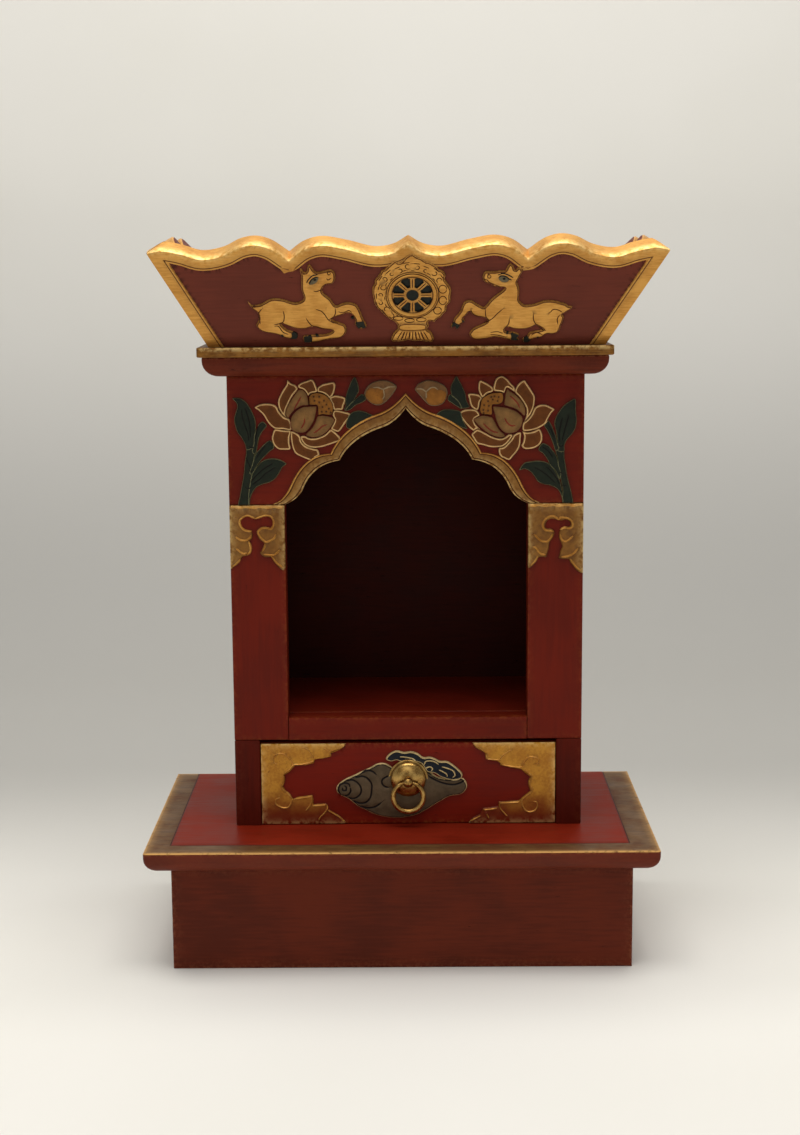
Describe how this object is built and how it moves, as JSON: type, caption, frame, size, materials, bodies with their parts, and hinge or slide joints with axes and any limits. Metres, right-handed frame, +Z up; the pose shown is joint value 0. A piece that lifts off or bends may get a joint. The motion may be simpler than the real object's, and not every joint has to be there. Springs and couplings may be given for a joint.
{
  "type": "household altar cabinet",
  "caption": "Painted and gilded wooden altar cabinet with a moulded base, an arched open niche, a carved drawer with a ring pull and a flared scalloped crown.",
  "frame": {"origin": "centre of the footprint, on the surface the cabinet stands on", "axes": "+Z up, the front with the niche and the drawer faces -Y, +X to the right as seen from the front"},
  "size_m": [0.3278, 0.182, 0.4637],
  "materials": {
    "red_lacquer": "worn semi-gloss lacquer",
    "brown_red_paint": "satin paint",
    "maroon_paint": "satin paint",
    "gold_leaf": "gilded, satin",
    "dark_red_paint": "matt paint",
    "polished_brass": "polished"
  },
  "bodies": {
    "cabinet": {"plinth_front_board": "brown_red_paint", "plinth_back_board": "brown_red_paint", "plinth_left_board": "brown_red_paint", "plinth_right_board": "brown_red_paint", "plinth_top_slab": "red_lacquer", "cabinet_left_side": "red_lacquer", "cabinet_right_side": "red_lacquer", "cabinet_back_panel": "dark_red_paint", "niche_floor_board": "red_lacquer", "front_rail": "red_lacquer", "front_stile_left": "red_lacquer", "front_stile_right": "red_lacquer", "arch_board": "red_lacquer", "cornice_moulding": "brown_red_paint", "cornice_ledge": "gold_leaf", "crown_front_board": "maroon_paint", "crown_left_board": "maroon_paint", "crown_right_board": "maroon_paint"},
    "drawer": {"drawer_front": "red_lacquer", "drawer_left_side": "dark_red_paint", "drawer_right_side": "dark_red_paint", "drawer_back": "dark_red_paint", "drawer_bottom": "dark_red_paint", "pull_rosette": "polished_brass"},
    "ring": {"pull_ring": "polished_brass"}
  },
  "joints": [
    {"name": "drawer_slide", "type": "slide", "parent": "cabinet", "child": "drawer", "axis": [0, -1, 0], "range_m": [0, 0.09]},
    {"name": "ring_swing", "type": "hinge", "parent": "drawer", "child": "ring", "pos_m": [0.0028, -0.0413, 0.1129], "axis": [-1, 0, 0], "range_deg": [-8, 110]}
  ]
}
